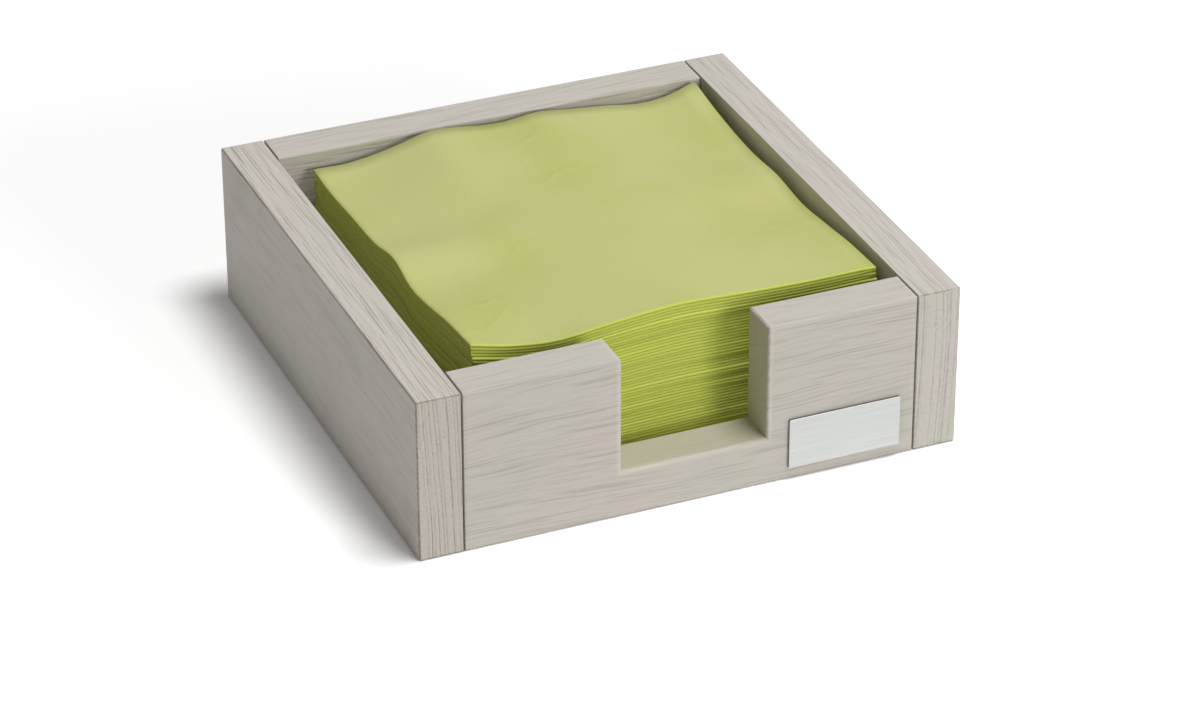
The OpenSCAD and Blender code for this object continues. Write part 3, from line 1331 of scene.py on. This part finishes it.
@dataclass(frozen=True)
class Softbox:
    """One round soft lamp that faces the origin and that the camera doesn't see.

    Attributes:
        name: its name in the scene.
        place: where it stands.
        size: its diameter.
        watts: its power.
    """

    name: str
    place: Triple
    size: float
    watts: float

    def build(self) -> None:
        """Puts the lamp into the scene."""
        data = bpy.data.lights.new(self.name, "AREA")
        data.shape = "DISK"
        data.size = self.size
        data.energy = self.watts
        lamp = bpy.data.objects.new(self.name, data)
        lamp.location = self.place
        lamp.rotation_mode = "QUATERNION"
        lamp.rotation_quaternion = (-Vector(self.place)).to_track_quat("-Z", "Y")
        lamp.visible_camera = False
        bpy.context.scene.collection.objects.link(lamp)


@dataclass(frozen=True)
class Studio:
    """The camera, the floor, the lamps and the pale surroundings.

    Attributes:
        azimuth_deg, elevation_deg, roll_deg: the camera's direction from its aim, and its tilt.
        distance: its distance from its aim.
        aim: what it looks at.
        lens_mm: its focal length.
        floor_size, floor_drop: side of the floor, and how far it lies under the holder.
        floor_paint: how pale the floor is to the light that it throws back.
        near_paint, far_paint: how pale the camera and reflections see it, close by and farther out.
        near_reach, far_reach, end_reach: distances from the middle at which it starts to turn from the
            close tone to the far one, has turned, and has faded out of their sight.
        ambient: strength of the surroundings' light.
        lamps: the lamps.
    """

    azimuth_deg: float = -22.90
    elevation_deg: float = 30.00
    roll_deg: float = -0.09
    distance: float = 1.7025
    aim: Triple = (-0.0087, -0.0400, 0.0291)
    lens_mm: float = 134.12
    floor_size: float = 8.0
    floor_drop: float = 0.05 * MM
    floor_paint: float = 0.9
    near_paint: float = 1.15
    far_paint: float = 1.5
    near_reach: float = 0.25
    far_reach: float = 0.70
    end_reach: float = 1.20
    ambient: float = 0.24
    lamps: tuple[Softbox, ...] = (
        Softbox("top lamp", (0.41, -0.30, 2.20), 0.85, 34.0),
        Softbox("front lamp", (0.75, -2.30, 0.80), 0.90, 21.5),
    )

    def camera(self) -> None:
        """Puts the camera where the azimuth, elevation and distance say, looking at the aim."""
        data = bpy.data.cameras.new("camera")
        data.lens = self.lens_mm
        camera = bpy.data.objects.new("camera", data)
        turns = ((self.azimuth_deg, "Z"), (90.0 - self.elevation_deg, "X"), (self.roll_deg, "Z"))
        azimuth, tilt, roll = (Matrix.Rotation(math.radians(angle), 4, axis) for angle, axis in turns)
        away = Matrix.Translation((0.0, 0.0, self.distance))
        camera.matrix_world = Matrix.Translation(self.aim) @ azimuth @ tilt @ away @ roll
        bpy.context.scene.collection.objects.link(camera)
        bpy.context.scene.camera = camera

    def floor(self) -> None:
        """A wide white floor that shows the object's shadow, and that can be looked through from below."""
        half = self.floor_size / 2
        corners = np.array([[-half, -half], [half, -half], [half, half], [-half, half]])
        points = np.column_stack([corners, np.full(4, -self.floor_drop)])
        floor = new_piece("floor", points, np.array([[0, 1, 2, 3]]))
        material = bpy.data.materials.new("floor")
        material.use_nodes = True
        graph = Graph(material.node_tree)
        material.node_tree.nodes.remove(material.node_tree.nodes["Principled BSDF"])
        rays = graph.add("ShaderNodeLightPath").outputs
        seen = graph.math("MAXIMUM", rays["Is Camera Ray"], rays["Is Glossy Ray"])
        away = graph.scalar("LENGTH", graph.place())
        shown = graph.step(away, self.near_reach, self.far_reach, self.near_paint, self.far_paint)
        lit = graph.add("ShaderNodeBsdfDiffuse", {"Color": graph.step(seen, 0, 1, self.floor_paint, shown)})
        clear = graph.add("ShaderNodeBsdfTransparent")
        under = graph.add("ShaderNodeNewGeometry").outputs["Backfacing"]
        fading = graph.times(seen, graph.step(away, self.far_reach, self.end_reach))
        gone = graph.math("MAXIMUM", under, fading)
        mixed = graph.add("ShaderNodeMixShader", {0: gone, 1: lit.outputs[0], 2: clear.outputs[0]})
        graph.feed(material.node_tree.nodes["Material Output"], {"Surface": mixed.outputs[0]})
        dress(floor, material)

    def surroundings(self) -> None:
        """An even pale sky, plain white where the camera or a reflection sees it."""
        world = bpy.data.worlds.new("studio")
        world.use_nodes = True
        graph = Graph(world.node_tree)
        rays = graph.add("ShaderNodeLightPath").outputs
        indirect = graph.math("MAXIMUM", rays["Is Glossy Ray"], rays["Is Transmission Ray"])
        seen = graph.math("MAXIMUM", rays["Is Camera Ray"], indirect)
        sky = {"Color": (1.0, 1.0, 1.0, 1.0), "Strength": graph.step(seen, 0, 1, self.ambient)}
        graph.feed(world.node_tree.nodes["Background"], sky)
        bpy.context.scene.world = world

    def build(self) -> None:
        """Sets up the whole studio."""
        bpy.context.scene.view_settings.view_transform = "Standard"
        self.camera()
        self.floor()
        self.surroundings()
        for lamp in self.lamps:
            lamp.build()


def main() -> None:
    """Builds the studio, the holder and the napkins."""
    logging.basicConfig(level=logging.INFO, format="%(name)s: %(message)s")
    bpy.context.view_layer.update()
    Studio().build()
    for piece in Holder().build() + NapkinStack().build():
        log.info("%s: %d faces", piece.name, len(piece.data.polygons))


if __name__ == "__main__":
    main()
